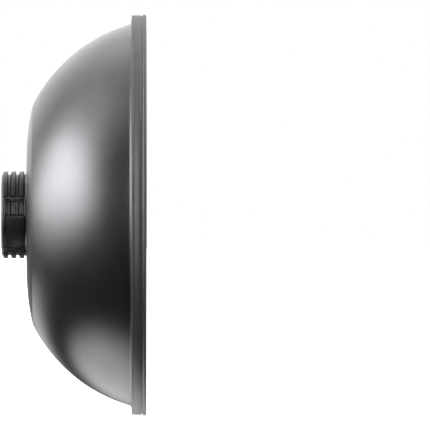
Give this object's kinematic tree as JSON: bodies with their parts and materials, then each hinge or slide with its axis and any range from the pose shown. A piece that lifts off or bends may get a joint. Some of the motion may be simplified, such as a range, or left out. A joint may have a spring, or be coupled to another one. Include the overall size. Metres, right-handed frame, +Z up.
{
  "type": "softlight reflector",
  "caption": "Round softlight reflector dish with a white centre deflector on wire hooks and a ribbed rubber collar that latches onto a lamp head.",
  "frame": {"origin": "centre of the rubber collar's rear face, on the lamp axis", "axes": "+X along the lamp axis out of the mouth, +Z up, latch on the -Y side"},
  "size_m": [0.1871, 0.52, 0.52],
  "materials": {
    "bowl_sheet": "dark grey satin outside, satin silver inside",
    "hoop_metal": "grey satin",
    "neck_metal": "turned satin",
    "bare_steel": "bright zinc",
    "white_wire": "white enamel",
    "white_enamel": "matt white enamel",
    "black_steel": "black satin",
    "collar_rubber": "black moulded rubber, matt",
    "lever_plastic": "fine matt black"
  },
  "bodies": {
    "reflector": {"reflector_bowl": "bowl_sheet", "rim_hoop": "hoop_metal", "rim_wire": "bare_steel", "mount_sleeve": "neck_metal", "lock_ring": "neck_metal", "floor_screws": "bare_steel", "support_rod_1": "white_wire", "support_rod_2": "white_wire", "support_rod_3": "white_wire", "rod_screws": "black_steel", "deflector_disc": "white_enamel", "rubber_collar": "collar_rubber", "clamp_band": "bare_steel", "latch_base": "black_steel", "base_rivets": "bare_steel", "catch_plate": "black_steel", "catch_rivets": "black_steel", "lever_pin": "bare_steel"},
    "lever": {"latch_lever": "lever_plastic"},
    "bail": {"bail": "black_steel"}
  },
  "joints": [
    {"name": "lever_hinge", "type": "hinge", "parent": "reflector", "child": "lever", "pos_m": [0.0178, -0.0563, -0.00334], "axis": [-1, 0, 0], "range_deg": [0, 144]},
    {"name": "bail_hinge", "type": "hinge", "parent": "lever", "child": "bail", "pos_m": [0.0178, -0.0539, -0.01394], "axis": [-1, 0, 0], "range_deg": [-180, 0]}
  ],
  "couplings": [
    {"joint": "bail_hinge", "follows": "lever_hinge", "ratio": -1.25}
  ]
}
